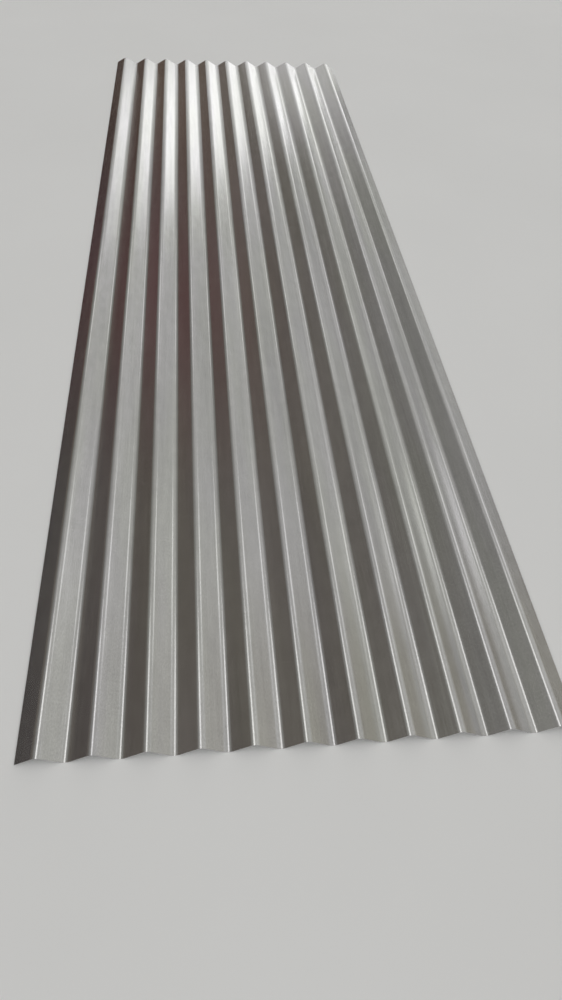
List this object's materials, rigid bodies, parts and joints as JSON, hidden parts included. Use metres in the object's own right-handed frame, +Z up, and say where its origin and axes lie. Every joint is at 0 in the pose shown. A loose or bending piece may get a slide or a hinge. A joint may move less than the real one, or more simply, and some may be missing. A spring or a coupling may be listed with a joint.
{
  "type": "corrugated metal sheet",
  "caption": "Corrugated roofing and cladding sheet of thin coated steel, rolled into even rounded waves that run its whole length, lying flat.",
  "frame": {"origin": "on the floor under the middle of the sheet, at the level of the undersides of the valleys", "axes": "+X across the waves, +Y along them, +Z up through the face that is uppermost in the picture"},
  "size_m": [0.824, 2.7432, 0.018],
  "materials": {
    "coated_steel": "bright zinc coated steel, smooth and slightly satin, with faint streaks along the rolling direction"
  },
  "bodies": {
    "root": {"corrugated_sheet": "coated_steel"}
  },
  "joints": []
}
